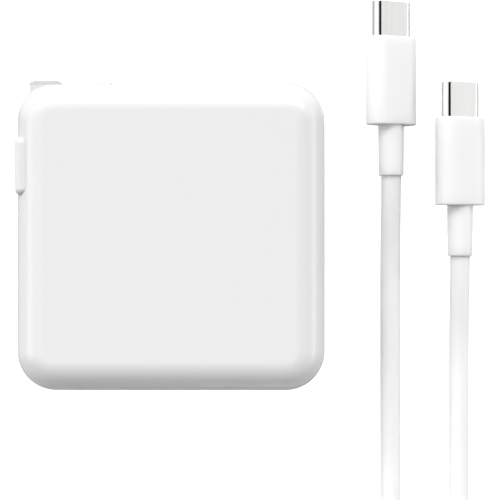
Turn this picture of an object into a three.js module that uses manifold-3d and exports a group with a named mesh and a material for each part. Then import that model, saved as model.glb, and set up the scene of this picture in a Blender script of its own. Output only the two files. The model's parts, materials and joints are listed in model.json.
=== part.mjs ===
// Laptop power adapter: a rounded square housing that lies on its back, a detachable AC plug with
// folding prongs in one corner, the electronics inside, and a detachable charge lead beside it.
// Millimetres. Origin at the centre of the rear face, +Z out of the front face.

import * as THREE from "three";
import { mergeVertices } from "three/addons/utils/BufferGeometryUtils.js";
import Module from "manifold-3d";

const wasm = await Module();
wasm.setup();

// ---- driving dimensions -------------------------------------------------------------------------

const GAP = 0.3;

const SIDE = 56.5;
const HEIGHT = 28;
const CORNER = 7.2;
const EDGE = 5.5;
const WALL = 1.8;
const HALF = SIDE / 2;
const MID_Z = HEIGHT / 2;

// The corner recess that takes the AC plug, open to the left and to the top.
const RECESS = { right: -10.8, floor: 3.8, low: 3.2, high: 24.8 };
const RECESS_WALL = 1.8;

const PORT = { shellWidth: 8.9, shellHeight: 3.2, shellWall: 0.3, depth: 7.4 };
const BEZEL = { width: 10.2, height: 4.4, wall: 0.45, depth: 1.95 };

const PIN = { x: -15.6, spread: 4.3, radius: 1.2, low: -3, high: 12 };
const STUD = { y: 20, neckRadius: 1.5, headRadius: 2.2, headLeft: -14.3, headRight: -12.8 };

const PIVOT = { x: -25, y: 9.7, radius: 1 };
const PIVOT_HOLE = 1.15;
const BLADE = { left: -26.5, right: -20.15, tip: 28.85, thickness: 1.5, spread: 6.35, root: 2.9, corner: 1.1 };
const BLADE_CHAMFER = { length: 0.85, depth: 0.55 };
const BLADE_HOLE = { radius: 1.55, fromTip: 4.15 };
const SLOT = { width: 2.1, right: -19.6, floor: 6.5 };
const FINGER_NOTCH = { right: -19.9, bottom: 27.75 };
const CARRIER = 3.25;
const PAD = { face: -28.3, low: 7.5, high: 18.1, bottom: 1.3, top: 26.7, corner: 1.2, round: 0.95 };
const PAD_BODY = { depth: 4, right: -26, lift: 0.15 };

const CAVITY = { left: -18.3, right: -12.5, top: 24, low: 6, high: 22 };
const KEYWAY = { half: 1.8, top: 21.8 };
const SPRING_ROOM = { left: -21.6, bottom: 6.2, top: 13.2, low: 11.4, high: 16.6 };
const LEAF_WINDOW = { bottom: 8.2, top: 13.3, near: 3.7, far: 7.3 };
const LEAF = { left: -19.4, right: -15, thickness: 0.5, bottom: 8.5, top: 13, foot: 0.6, reach: 7 };
const COVER = 1.5;
const SOCKET = { radius: 2.1, bore: 1.5, low: 5.9, high: 12.1 };

const CORD = 3.9;
const CORD_R = CORD / 2;
const CORD_LIES = CORD_R + 0.04;
const ROLL = THREE.MathUtils.degToRad(28);
const MOULD = { width: 10.4, thickness: 5.8, length: 17.2, round: 0.3 };
const RELIEF = { front: 2.5, back: 2.3, length: 9.45 };
const NOSE = { width: 8.25, thickness: 2.4, length: 6.9, wall: 0.3 };
const PLUG_Z = 4.05;
const PLUG_A = { x: 42.02, tip: 45.87 };
const PLUG_B = { x: 55.48, tip: 30.23 };

const COIL = { x: 29.6, y: -91.5, middle: 22, across: 3, layers: 4 };
const COIL_INNER = COIL.middle - (COIL.across * CORD) / 2;
const COIL_OUTER = COIL.middle + (COIL.across * CORD) / 2;
const COIL_TOP = COIL.layers * CORD;
const TIE = { width: 4, thickness: 0.6 };

// The electronics. DECK is where the parts on the main board begin.
const PLAN = { right: -7, floor: 0, chamfer: 4 };
const DECK = 6.1;
const TRANSFORMER = { x: 4, z: 14.8, half: 10, front: 3, back: 21, low: 7, high: 22.6, leg: 3.6 };
const TRANSFORMER_WINDOW = { half: 7.2, front: 6.5, back: 17.5 };
const WINDING = { outer: 6.9, inner: 3.9, front: 6.8, back: 17.2 };
const PRIMARY_CAN = { radius: 4.7, left: -24, right: -8, z: 11, rows: [-9.5, -20] };
const OUTPUT_CAN = { radius: 4, top: 20, y: -18, columns: [-2, 7.5] };
const CHOKE = { x: 18, y: -17, flange: 6, core: 2.4, top: 16.1, rim: 1.5 };
const FUSE = { radius: 1.5, left: -23, right: -17.5, y: -3.3, z: 7.7 };
const LEAD_WIRE = { radius: 0.6, sides: 6, steps: 10 };

// ---- materials ----------------------------------------------------------------------------------

function material(color, roughness, metalness) {
  return new THREE.MeshStandardMaterial({ color, roughness, metalness });
}

const WHITE = material(0xf3f3f2, 0.18, 0);
const WHITE_TRIM = material(0xeeeeed, 0.3, 0);
const LEAD_WHITE = material(0xf1f1f0, 0.45, 0);
const STEEL = material(0xc9c7c4, 0.22, 1);
const BRASS = material(0xc9a55c, 0.35, 1);
const BOARD = material(0x1f5a3a, 0.6, 0);
const FERRITE = material(0x3a3a3c, 0.7, 0);
const COPPER = material(0xb87333, 0.4, 1);
const SLEEVE = material(0x22252a, 0.5, 0);
const FILM = material(0xc9a227, 0.5, 0);
const CERAMIC = material(0x3f73b5, 0.5, 0);
const CHIP = material(0x18181a, 0.6, 0);
const ALUMINIUM = material(0xb9bcc0, 0.4, 1);
const SHEET = material(0xe2dccb, 0.6, 0);
const INSULATOR = material(0x2b2b2d, 0.6, 0);

// ---- solids -------------------------------------------------------------------------------------

function solid(geometry) {
  const bare = geometry.index ? geometry : geometry.clone();
  bare.deleteAttribute("normal");
  bare.deleteAttribute("uv");
  const merged = mergeVertices(bare, 1e-4);
  return new wasm.Manifold(
    new wasm.Mesh({
      numProp: 3,
      vertProperties: new Float32Array(merged.attributes.position.array),
      triVerts: new Uint32Array(merged.index.array),
    }),
  );
}

function geometryOf(manifold) {
  const data = manifold.getMesh();
  const geometry = new THREE.BufferGeometry();
  geometry.setAttribute("position", new THREE.BufferAttribute(data.vertProperties, 3));
  geometry.setIndex(new THREE.BufferAttribute(data.triVerts, 1));
  return geometry;
}

function box(x0, x1, y0, y1, z0, z1) {
  const geometry = new THREE.BoxGeometry(x1 - x0, y1 - y0, z1 - z0);
  geometry.translate((x0 + x1) / 2, (y0 + y1) / 2, (z0 + z1) / 2);
  return solid(geometry);
}

// A round bar along one axis, from low to high, through the two other coordinates.
function rod(axis, radius, low, high, at, sides = 16) {
  const geometry = new THREE.CylinderGeometry(radius, radius, high - low, sides);
  const middle = (low + high) / 2;
  if (axis === "x") {
    geometry.rotateZ(Math.PI / 2);
    geometry.translate(middle, at[0], at[1]);
  } else if (axis === "y") {
    geometry.translate(at[0], middle, at[1]);
  } else {
    geometry.rotateX(Math.PI / 2);
    geometry.translate(at[0], at[1], middle);
  }
  return solid(geometry);
}

function union(first, ...others) {
  return others.reduce((whole, next) => whole.add(next), first);
}

function cut(whole, ...tools) {
  return tools.reduce((rest, tool) => rest.subtract(tool), whole);
}

function roundedRectangle(width, height, radius) {
  const x = width / 2;
  const y = height / 2;
  const shape = new THREE.Shape();
  shape.moveTo(x, -y + radius);
  shape.lineTo(x, y - radius);
  shape.absarc(x - radius, y - radius, radius, 0, Math.PI / 2);
  shape.lineTo(-x + radius, y);
  shape.absarc(-x + radius, y - radius, radius, Math.PI / 2, Math.PI);
  shape.lineTo(-x, -y + radius);
  shape.absarc(-x + radius, -y + radius, radius, Math.PI, Math.PI * 1.5);
  shape.lineTo(x - radius, -y);
  shape.absarc(x - radius, -y + radius, radius, Math.PI * 1.5, Math.PI * 2);
  return shape;
}

function polygon(points) {
  return new THREE.Shape(points.map(([x, y]) => new THREE.Vector2(x, y)));
}

function slab(shape, z0, z1, curveSegments = 5) {
  const geometry = new THREE.ExtrudeGeometry(shape, { depth: z1 - z0, bevelEnabled: false, curveSegments });
  geometry.translate(0, 0, z0);
  return solid(geometry);
}

// A slab whose front and back edges are rounded all the way round.
function softSlab(shape, z0, z1, round, bevelSegments, curveSegments) {
  const geometry = new THREE.ExtrudeGeometry(shape, {
    depth: z1 - z0 - 2 * round,
    bevelEnabled: true,
    bevelThickness: round,
    bevelSize: round,
    bevelOffset: -round,
    bevelSegments,
    curveSegments,
  });
  geometry.translate(0, 0, z0 + round);
  return solid(geometry);
}

// A bar with a section in X and Z that runs along Y, with or without rounded ends.
function barAlongY(shape, y0, y1, round = 0, curveSegments = 5) {
  const bar = round > 0
    ? softSlab(shape, -y1, -y0, round, 2, curveSegments)
    : slab(shape, -y1, -y0, curveSegments);
  return bar.rotate([90, 0, 0]);
}

function barAlongX(shape, x0, x1, curveSegments = 5) {
  return slab(shape, x0, x1, curveSegments).rotate([90, 0, 90]);
}

// The adapter's outer shape, moved inwards by inset.
function envelope(inset) {
  const side = SIDE - 2 * inset;
  const shape = roundedRectangle(side, side, CORNER - inset);
  return softSlab(shape, inset, HEIGHT - inset, EDGE - inset, 5, 6);
}

// ---- the group ----------------------------------------------------------------------------------

const adapter = new THREE.Group();

function place(name, manifold, look, parent = adapter) {
  const mesh = new THREE.Mesh(geometryOf(manifold), look);
  mesh.name = name;
  parent.add(mesh);
  return mesh;
}

function above(low, high) {
  return box(-100, 100, -100, 100, low, high);
}

// ---- housing ------------------------------------------------------------------------------------

function stadium(width, height) {
  return roundedRectangle(width, height, 0.96 * (height / 2));
}

function housing() {
  const reach = HALF + 1;
  const corner = box(-reach, RECESS.right + RECESS_WALL, RECESS.floor - RECESS_WALL, reach, -1, HEIGHT + 1);
  const hollow = envelope(WALL).subtract(corner);
  const recess = box(-reach, RECESS.right, RECESS.floor, reach, RECESS.low, RECESS.high);
  const portShape = stadium(BEZEL.width + 2 * GAP, BEZEL.height + 2 * GAP);
  const portHole = barAlongX(portShape, HALF - 4, reach).translate([0, 0, MID_Z]);
  const inletHole = box(-19.2, -12, 1, RECESS.floor + 1, MID_Z - 6.5, MID_Z + 6.5);
  const studHole = rod("x", STUD.neckRadius + GAP, -12, -8, [STUD.y, MID_Z]);
  const shell = cut(envelope(0), hollow, recess, portHole, inletHole, studHole);
  place("front_shell", shell.intersect(above(MID_Z + GAP / 2, HEIGHT + 1)), WHITE);
  place("rear_shell", shell.intersect(above(-1, MID_Z - GAP / 2)), WHITE);
}

// ---- charge port --------------------------------------------------------------------------------

function port() {
  const opening = stadium(BEZEL.width - 2 * BEZEL.wall, BEZEL.height - 2 * BEZEL.wall);
  const bezel = cut(
    barAlongX(stadium(BEZEL.width, BEZEL.height), HALF - BEZEL.depth - 0.1, HALF - 0.1),
    barAlongX(opening, HALF - 5, HALF + 1),
  );
  place("port_bezel", bezel.translate([0, 0, MID_Z]), WHITE_TRIM);

  const back = HALF - 0.25 - PORT.depth;
  const inner = {
    width: PORT.shellWidth - 2 * PORT.shellWall,
    height: PORT.shellHeight - 2 * PORT.shellWall,
  };
  const shell = cut(
    barAlongX(stadium(PORT.shellWidth, PORT.shellHeight), back, HALF - 0.25),
    barAlongX(stadium(inner.width, inner.height), back - 1, HALF + 1),
  );
  place("receptacle_shell", shell.translate([0, 0, MID_Z]), STEEL);

  const tongue = union(
    barAlongX(stadium(inner.width - 0.4, inner.height - 0.4), back + 0.2, back + 1.6),
    box(back + 1.5, HALF - 0.95, -3.1, 3.1, -0.35, 0.35),
  );
  place("receptacle_tongue", tongue.translate([0, 0, MID_Z]), INSULATOR);
  place("port_board", box(15, 25, -7, 7, 10.9, 12), BOARD);
}

// ---- inlet in the recess ------------------------------------------------------------------------

const SIDES = [["line", 1], ["neutral", -1]];

function inlet() {
  const holes = SIDES.map(([, sign]) => {
    return rod("y", PIN.radius + GAP, -5, 8, [PIN.x, MID_Z + sign * PIN.spread]);
  });
  const body = box(-18.9, -12.3, -0.5, 3.5, MID_Z - 6.2, MID_Z + 6.2);
  const flange = box(-20.2, -11, -1.2, 1.7, MID_Z - 7.5, MID_Z + 7.5);
  const block = body.add(flange);
  place("inlet_block", cut(block, ...holes), INSULATOR);
  for (const [side, sign] of SIDES) {
    const pin = rod("y", PIN.radius, PIN.low, PIN.high, [PIN.x, MID_Z + sign * PIN.spread]);
    place(`inlet_pin_${side}`, pin, STEEL);
  }
  const stud = union(
    rod("x", 2.5, -8.7, -7.5, [STUD.y, MID_Z]),
    rod("x", STUD.neckRadius, STUD.headRight - 0.2, -8, [STUD.y, MID_Z]),
    rod("x", STUD.headRadius, STUD.headLeft, STUD.headRight, [STUD.y, MID_Z]),
  );
  place("lock_stud", stud, STEEL);
}

// ---- electronics --------------------------------------------------------------------------------

// The plan that the boards and plates share: a square with the recess corner left out.
function cornerPlan(half) {
  const { right, floor, chamfer } = PLAN;
  return polygon([
    [-half + chamfer, -half],
    [half - chamfer, -half],
    [half, -half + chamfer],
    [half, half - chamfer],
    [half - chamfer, half],
    [right, half],
    [right, floor],
    [-half, floor],
    [-half, -half + chamfer],
  ]);
}

function boards() {
  const sheets = [
    ["rear_heat_spreader", 23.5, 2.2, 2.8, ALUMINIUM],
    ["insulating_sheet", 23.8, 3.2, 3.6, SHEET],
    ["main_board", 24, 4.2, DECK - GAP, BOARD],
    ["front_heat_spreader", 23.5, 24.8, 25.5, ALUMINIUM],
  ];
  for (const [name, half, low, high, look] of sheets) {
    place(name, slab(cornerPlan(half), low, high), look);
  }
}

function transformer() {
  const { x, z, half, front, back, low, high, leg } = TRANSFORMER;
  const at = [x, z];
  const window = box(
    x - TRANSFORMER_WINDOW.half,
    x + TRANSFORMER_WINDOW.half,
    TRANSFORMER_WINDOW.front,
    TRANSFORMER_WINDOW.back,
    0,
    HEIGHT,
  );
  const middleLeg = rod("y", leg, front + 3, back - 3, at);
  const core = box(x - half, x + half, front, back, low, high).subtract(window).add(middleLeg);
  place("transformer_core", core, FERRITE);
  const winding = cut(
    rod("y", WINDING.outer, WINDING.front, WINDING.back, at, 24),
    rod("y", WINDING.inner, front, back, at),
  );
  place("transformer_winding", winding, FILM);
}

function capacitors() {
  PRIMARY_CAN.rows.forEach((y, index) => {
    const can = rod("x", PRIMARY_CAN.radius, PRIMARY_CAN.left, PRIMARY_CAN.right, [y, PRIMARY_CAN.z], 20);
    place(`primary_capacitor_${index + 1}`, can, SLEEVE);
  });
  OUTPUT_CAN.columns.forEach((x, index) => {
    const can = rod("z", OUTPUT_CAN.radius, DECK, OUTPUT_CAN.top, [x, OUTPUT_CAN.y], 20);
    place(`output_capacitor_${index + 1}`, can, SLEEVE);
  });
  place("x_capacitor", box(17.6, 23.8, 8, 20, DECK, 17), FILM);
  place("y_capacitor", rod("y", 3.5, -1.8, 0.8, [-3, 9.9], 16), CERAMIC);
}

// A ring about the Z axis from a closed section of (radius, height) points.
function turned(points, sides) {
  const ring = new THREE.LatheGeometry(points.map(([r, z]) => new THREE.Vector2(r, z)), sides);
  ring.rotateX(Math.PI / 2);
  return solid(ring);
}

function choke() {
  const { x, y, flange, core, top, rim } = CHOKE;
  const spool = [
    [0, DECK],
    [flange, DECK],
    [flange, DECK + rim],
    [core, DECK + rim],
    [core, top - rim],
    [flange, top - rim],
    [flange, top],
    [0, top],
  ];
  const low = DECK + rim + GAP;
  const high = top - rim - GAP;
  const wire = [
    [core + GAP, low],
    [flange - 0.4, low],
    [flange - 0.4, high],
    [core + GAP, high],
    [core + GAP, low],
  ];
  place("choke_core", turned(spool, 20).translate([x, y, 0]), FERRITE);
  place("choke_winding", turned(wire, 20).translate([x, y, 0]), COPPER);
}

function smallParts() {
  place("fuse", rod("x", FUSE.radius, FUSE.left, FUSE.right, [FUSE.y, FUSE.z], 12), CERAMIC);
  place("bridge_rectifier", box(-3, 4, -8.5, -4.5, DECK, 8), CHIP);
  place("heat_sink", box(10, 22, -9.6, -8.4, DECK, 10.6), ALUMINIUM);
  place("switch_transistor", box(11, 17, -7.9, -5.5, DECK, 10.5), CHIP);
  place("controller_chip", box(14, 20, 0, 4, DECK, 7.3), CHIP);
  for (const [side, sign] of SIDES) {
    const path = new THREE.CatmullRomCurve3([
      new THREE.Vector3(PIN.x, PIN.low - 1, MID_Z + sign * PIN.spread),
      new THREE.Vector3(PIN.x + 3, PIN.low - 1, MID_Z + sign * PIN.spread),
      new THREE.Vector3(-9.4, PIN.low - 0.6, MID_Z + sign * (PIN.spread - 1)),
      new THREE.Vector3(-5.2 + sign, PIN.low, DECK + 0.5),
    ]);
    place(`ac_lead_${side}`, tube(path, LEAD_WIRE.radius, LEAD_WIRE.sides, LEAD_WIRE.steps), COPPER);
  }
}

// A round tube along a curve, faceted.
function tube(curve, radius, sides, steps) {
  const section = new THREE.Shape();
  section.absarc(0, 0, radius, 0, Math.PI * 2);
  const facets = new THREE.Shape(section.getSpacedPoints(sides).slice(0, sides));
  return solid(new THREE.ExtrudeGeometry(facets, { extrudePath: curve, steps, bevelEnabled: false }));
}

// ---- AC plug ------------------------------------------------------------------------------------

const BLADES = [["front", 1], ["rear", -1]];

function outletPad() {
  const outline = roundedRectangle(PAD.top - PAD.bottom, PAD.high - PAD.low, PAD.corner);
  const plate = softSlab(outline, 0, PAD_BODY.depth, PAD.round, 4, 4)
    .rotate([0, 90, 0])
    .translate([PAD.face, (PAD.low + PAD.high) / 2, MID_Z])
    .intersect(box(-40, PAD_BODY.right, -40, 40, -5, 40));
  const between = box(-40, 40, -40, 40, RECESS.low + GAP, RECESS.high - GAP);
  return cut(plate, envelope(-PAD_BODY.lift).subtract(between));
}

// Room for the carrier: a half circle inside, square towards the outlet face.
function carrierRoom() {
  const room = CARRIER + GAP;
  const low = MID_Z - BLADE.spread + SLOT.width / 2 - 0.1;
  const high = MID_Z + BLADE.spread - SLOT.width / 2 + 0.1;
  return union(
    rod("z", room, low, high, [PIVOT.x, PIVOT.y], 32),
    box(-HALF - 1, PIVOT.x, PIVOT.y - room, PIVOT.y + room, low, high),
  );
}

function plugHousing() {
  const reach = HALF + 1;
  const low = RECESS.low + GAP;
  const high = RECESS.high - GAP;
  const block = box(-reach, RECESS.right - GAP, RECESS.floor + GAP, reach, low, high);
  const slots = BLADES.map(([, sign]) => {
    const z = MID_Z + sign * BLADE.spread;
    return box(-reach - 1, SLOT.right, SLOT.floor, reach + 1, z - SLOT.width / 2, z + SLOT.width / 2);
  });
  const windows = BLADES.map(([, sign]) => {
    const z = [MID_Z + sign * LEAF_WINDOW.near, MID_Z + sign * LEAF_WINDOW.far].sort((a, b) => a - b);
    return box(SLOT.right - 0.5, CAVITY.left + 0.5, LEAF_WINDOW.bottom, LEAF_WINDOW.top, z[0], z[1]);
  });
  const notches = BLADES.map(([, sign]) => {
    const z = [MID_Z + sign * BLADE.spread, MID_Z + sign * MID_Z].sort((a, b) => a - b);
    return box(-reach, FINGER_NOTCH.right, FINGER_NOTCH.bottom, reach, z[0], z[1]);
  });
  const keyway = { low: MID_Z - KEYWAY.half, high: MID_Z + KEYWAY.half };
  const room = SPRING_ROOM;
  const whole = cut(
    union(block.intersect(envelope(0)), outletPad()),
    ...slots,
    ...notches,
    ...windows,
    carrierRoom(),
    box(CAVITY.left, CAVITY.right, 0, CAVITY.top, CAVITY.low, CAVITY.high),
    box(CAVITY.right - 0.5, RECESS.right, 0, KEYWAY.top, keyway.low, keyway.high),
    box(room.left, CAVITY.left + 0.5, room.bottom, room.top, room.low, room.high),
    rod("z", PIVOT_HOLE, 4.6, 23.4, [PIVOT.x, PIVOT.y]),
  );
  place("plug_housing", whole, WHITE);
}

function innerCover() {
  const holes = SIDES.map(([, sign]) => rod("y", PIN.radius + 0.2, 0, 8, [PIN.x, MID_Z + sign * PIN.spread]));
  const floor = RECESS.floor + GAP;
  const { left, right, low, high } = CAVITY;
  const cover = box(left + GAP, right - GAP, floor, floor + COVER, low + GAP, high - GAP);
  const notch = box(STUD.headLeft - 0.5, 0, 0, 8, MID_Z - 2.6, MID_Z + 2.6);
  place("plug_inner_cover", cut(cover, ...holes, notch), WHITE_TRIM);
}

// A socket for each inlet pin, and the spring leaf that reaches from it to a prong.
function plugContacts() {
  for (const [side, sign] of SIDES) {
    const z = MID_Z + sign * PIN.spread;
    const socket = cut(
      rod("y", SOCKET.radius, SOCKET.low, SOCKET.high, [PIN.x, z], 20),
      rod("y", SOCKET.bore, 0, 20, [PIN.x, z]),
    );
    place(`socket_${side}`, socket, BRASS);
    const span = [z - sign * GAP, MID_Z + sign * LEAF.reach].sort((a, b) => a - b);
    const leaf = union(
      box(LEAF.left, LEAF.left + LEAF.thickness, LEAF.bottom, LEAF.top, ...span),
      box(LEAF.left, LEAF.right, LEAF.top - LEAF.foot, LEAF.top, ...span),
    );
    place(`contact_leaf_${side}`, leaf, BRASS);
  }
}

// The bent leaf that presses on the carrier and holds the prongs folded or out.
function detent() {
  const foot = 3.1;
  const outer = [
    [-18.9, PIVOT.y - foot],
    [-21.3, PIVOT.y],
    [-18.9, PIVOT.y + foot],
  ];
  const inner = [
    [-18.5, PIVOT.y + foot],
    [-20.8, PIVOT.y],
    [-18.5, PIVOT.y - foot],
  ];
  place("detent_spring", slab(polygon([...outer, ...inner]), 11.8, 16.2), STEEL);
  place("pivot_pin", rod("z", PIVOT.radius, 4.9, 23.1, [PIVOT.x, PIVOT.y]), STEEL);
}

// ---- prongs -------------------------------------------------------------------------------------

function bladeOutline() {
  const { left, right, tip, corner } = BLADE;
  const shape = new THREE.Shape();
  shape.moveTo(left, PIVOT.y);
  shape.lineTo(left, tip - corner);
  shape.absarc(left + corner, tip - corner, corner, Math.PI, Math.PI / 2, true);
  shape.absarc(right - corner, tip - corner, corner, Math.PI / 2, 0, true);
  shape.lineTo(right, PIVOT.y);
  shape.absarc(right - corner, PIVOT.y, corner, 0, -Math.PI / 2, true);
  shape.lineTo(left + corner, PIVOT.y - corner);
  shape.absarc(left + corner, PIVOT.y, corner, -Math.PI / 2, -Math.PI, true);
  return shape;
}

// The wedges that bevel a blade's tip on both faces.
function tipWedges(low, high) {
  const { length, depth } = BLADE_CHAMFER;
  const past = 1;
  const fall = depth * (1 + past / length);
  return [[high, 1], [low, -1]].map(([face, sign]) => {
    const corners = [
      [BLADE.tip - length, face],
      [BLADE.tip + past, face - sign * fall],
      [BLADE.tip + past, face + sign * past],
      [BLADE.tip - length, face + sign * past],
    ];
    return barAlongX(polygon(corners), BLADE.left - past, BLADE.right + past);
  });
}

function prongs() {
  const middle = (BLADE.left + BLADE.right) / 2;
  for (const [side, sign] of BLADES) {
    const z = MID_Z + sign * BLADE.spread;
    const low = z - BLADE.thickness / 2;
    const high = z + BLADE.thickness / 2;
    const root = rod("z", BLADE.root, low, high, [PIVOT.x, PIVOT.y], 24);
    const blade = cut(
      softSlab(bladeOutline(), low, high, 0.3, 1, 5).add(root),
      rod("z", PIVOT_HOLE, low - 1, high + 1, [PIVOT.x, PIVOT.y]),
      rod("z", BLADE_HOLE.radius, low - 1, high + 1, [middle, BLADE.tip - BLADE_HOLE.fromTip]),
      ...tipWedges(low, high),
    );
    place(`prong_${side}`, blade, STEEL);
  }
  const half = BLADE.spread - BLADE.thickness / 2 - GAP;
  const carrier = cut(
    union(
      rod("z", CARRIER, MID_Z - half, MID_Z + half, [PIVOT.x, PIVOT.y], 32),
      box(PIVOT.x - CARRIER, PIVOT.x, PIVOT.y, PIVOT.y + CARRIER, MID_Z - half, MID_Z + half),
    ),
    rod("z", PIVOT_HOLE, 0, HEIGHT, [PIVOT.x, PIVOT.y]),
  );
  place("prong_carrier", carrier, WHITE_TRIM);
}

// ---- charge lead --------------------------------------------------------------------------------

// A connector with its nose towards +Y, rolled about its own axis so that one edge rests on the table.
function connector(letter, at) {
  const group = new THREE.Group();
  group.position.set(at.x, at.tip, PLUG_Z);
  group.rotation.y = ROLL;
  adapter.add(group);

  const root = -NOSE.length;
  const inner = { width: NOSE.width - 2 * NOSE.wall, thickness: NOSE.thickness - 2 * NOSE.wall };
  const shell = cut(
    barAlongY(stadium(NOSE.width, NOSE.thickness), root + GAP, 0),
    barAlongY(stadium(inner.width, inner.thickness), root + 0.8, 1),
  );
  place(`connector_shell_${letter}`, shell, STEEL, group);

  const insert = cut(
    barAlongY(stadium(inner.width - 0.4, inner.thickness - 0.4), root + 1, -0.3),
    box(-3.3, 3.3, root + 2, 1, -0.4, 0.4),
  );
  place(`connector_insert_${letter}`, insert, INSULATOR, group);

  const mould = barAlongY(stadium(MOULD.width, MOULD.thickness), root - MOULD.length, root, MOULD.round, 6);
  place(`connector_overmould_${letter}`, mould, LEAD_WHITE, group);

  const end = root - MOULD.length - GAP;
  const relief = new THREE.CylinderGeometry(RELIEF.front, RELIEF.back, RELIEF.length, 16);
  relief.translate(0, end - RELIEF.length / 2, 0);
  place(`strain_relief_${letter}`, solid(relief), LEAD_WHITE, group);
  return at.tip + end - RELIEF.length - GAP;
}

function route(points) {
  const corners = points.map(([x, y, z]) => new THREE.Vector3(x, y, z));
  return new THREE.CatmullRomCurve3(corners, false, "centripetal");
}

// The quarter turn by which the first run comes up to the coil, stopped short of the ring.
function quarterTurn(radius, sweep) {
  const centre = { x: COIL.x, y: COIL.y + COIL.middle + CORD + radius };
  const steps = 5;
  return Array.from({ length: steps + 1 }, (_, index) => {
    const angle = (sweep * index) / steps;
    return [centre.x + radius * Math.cos(angle), centre.y - radius * Math.sin(angle), CORD_LIES];
  });
}

function lead() {
  const endA = connector("a", PLUG_A);
  const endB = connector("b", PLUG_B);

  const turnA = quarterTurn(PLUG_A.x - COIL.x, THREE.MathUtils.degToRad(48));
  const runA = [
    [PLUG_A.x, endA, PLUG_Z],
    [PLUG_A.x, 6, 3.5],
    [PLUG_A.x, 0, 2.6],
    [PLUG_A.x, -7, 2],
    [PLUG_A.x, -16, CORD_LIES],
    [PLUG_A.x, -28, CORD_LIES],
    [PLUG_A.x, -40, CORD_LIES],
    ...turnA,
  ];
  place("cord_run_a", tube(route(runA), CORD_R - 0.02, 8, 20), LEAD_WHITE);

  const runB = [
    [PLUG_B.x, endB, PLUG_Z],
    [PLUG_B.x, -10, 3.5],
    [PLUG_B.x, -16, 2.6],
    [PLUG_B.x, -23, 2],
    [PLUG_B.x, -32, CORD_LIES],
    [PLUG_B.x, -44, CORD_LIES],
    [PLUG_B.x, -54, 2.3],
    [PLUG_B.x, -62, 4.2],
    [PLUG_B.x, -70, 7.2],
    [PLUG_B.x, -75.6, 9.4],
  ];
  place("cord_run_b", tube(route(runB), CORD_R - 0.02, 8, 16), LEAD_WHITE);

  const round = 1.2;
  const section = roundedRectangle(COIL_OUTER - COIL_INNER, COIL_TOP, round).getPoints(2);
  const profile = section.map((point) => new THREE.Vector2(point.x + COIL.middle, point.y + COIL_TOP / 2));
  const ring = new THREE.LatheGeometry([...profile, profile[0].clone()], 36);
  ring.rotateX(Math.PI / 2);
  const half = TIE.width / 2;
  const far = COIL.y - COIL.middle;
  const groove = box(COIL.x - half - GAP, COIL.x + half + GAP, far - 10, far + 10, -1, TIE.thickness + GAP);
  place("cord_coil", cut(solid(ring).translate([COIL.x, COIL.y, 0]), groove), LEAD_WHITE);

  const reach = (COIL_OUTER - COIL_INNER) / 2 + GAP;
  const strap = TIE.thickness;
  const tie = cut(
    box(COIL.x - half, COIL.x + half, far - reach - strap, far + reach + strap, 0, COIL_TOP + GAP + strap),
    box(COIL.x - 9, COIL.x + 9, far - reach, far + reach, strap, COIL_TOP + GAP),
  );
  place("cord_tie", tie, LEAD_WHITE);
}

// ---- assembly -----------------------------------------------------------------------------------

housing();
port();
inlet();
boards();
transformer();
capacitors();
choke();
smallParts();
plugHousing();
innerCover();
plugContacts();
detent();
prongs();
lead();

export default adapter;
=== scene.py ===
"""Looks of the laptop power adapter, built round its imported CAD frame. Metres, in the CAD frame."""

import json
import math

import bmesh
import bpy
from mathutils import Matrix, Vector


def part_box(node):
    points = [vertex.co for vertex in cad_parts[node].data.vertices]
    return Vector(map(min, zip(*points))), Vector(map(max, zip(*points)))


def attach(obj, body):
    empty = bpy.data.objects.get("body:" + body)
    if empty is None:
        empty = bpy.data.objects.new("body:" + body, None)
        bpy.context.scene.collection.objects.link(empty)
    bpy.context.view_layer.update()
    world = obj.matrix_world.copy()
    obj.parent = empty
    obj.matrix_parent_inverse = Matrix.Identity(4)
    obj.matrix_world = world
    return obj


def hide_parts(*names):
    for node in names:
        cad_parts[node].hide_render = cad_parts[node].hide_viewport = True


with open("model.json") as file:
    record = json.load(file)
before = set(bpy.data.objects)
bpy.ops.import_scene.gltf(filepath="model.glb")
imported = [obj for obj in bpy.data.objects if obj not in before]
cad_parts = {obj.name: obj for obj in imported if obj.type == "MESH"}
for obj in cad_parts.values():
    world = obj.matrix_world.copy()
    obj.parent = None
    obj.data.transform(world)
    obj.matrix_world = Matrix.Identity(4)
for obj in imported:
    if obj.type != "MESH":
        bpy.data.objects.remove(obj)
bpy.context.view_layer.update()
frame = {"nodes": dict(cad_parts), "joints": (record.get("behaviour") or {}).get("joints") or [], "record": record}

MM = 0.001

# ---- sizes that the frame gives -----------------------------------------------------------------

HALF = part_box("rear_shell")[1].x
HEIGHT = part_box("front_shell")[1].z
MID_Z = HEIGHT / 2
OUTLET_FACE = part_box("plug_housing")[0].x
FOLD = next(joint for joint in frame["joints"] if joint["name"] == "prong_fold")
PIVOT = Vector(FOLD["pos_m"])
PIVOT_FOOT = (PIVOT.x, PIVOT.y, 0)

# ---- sizes of what the CAD shapes leave rough ---------------------------------------------------

CORNER = 7.2 * MM
EDGE = 5.5 * MM
WALL = 1.8 * MM
SEAM = 0.12 * MM
RECESS_RIGHT = -10.8 * MM
RECESS_FLOOR = 3.8 * MM
RECESS_LOW = 3.2 * MM
RECESS_HIGH = 24.8 * MM
CLEAR = 0.12 * MM
SHARP = 0.01 * MM
INLET_HOLE_X = (-19.2 * MM, -12 * MM)
INLET_HOLE_Z = (7.5 * MM, 20.5 * MM)
STUD_Y = 20 * MM
STUD_HOLE = 1.8 * MM

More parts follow.
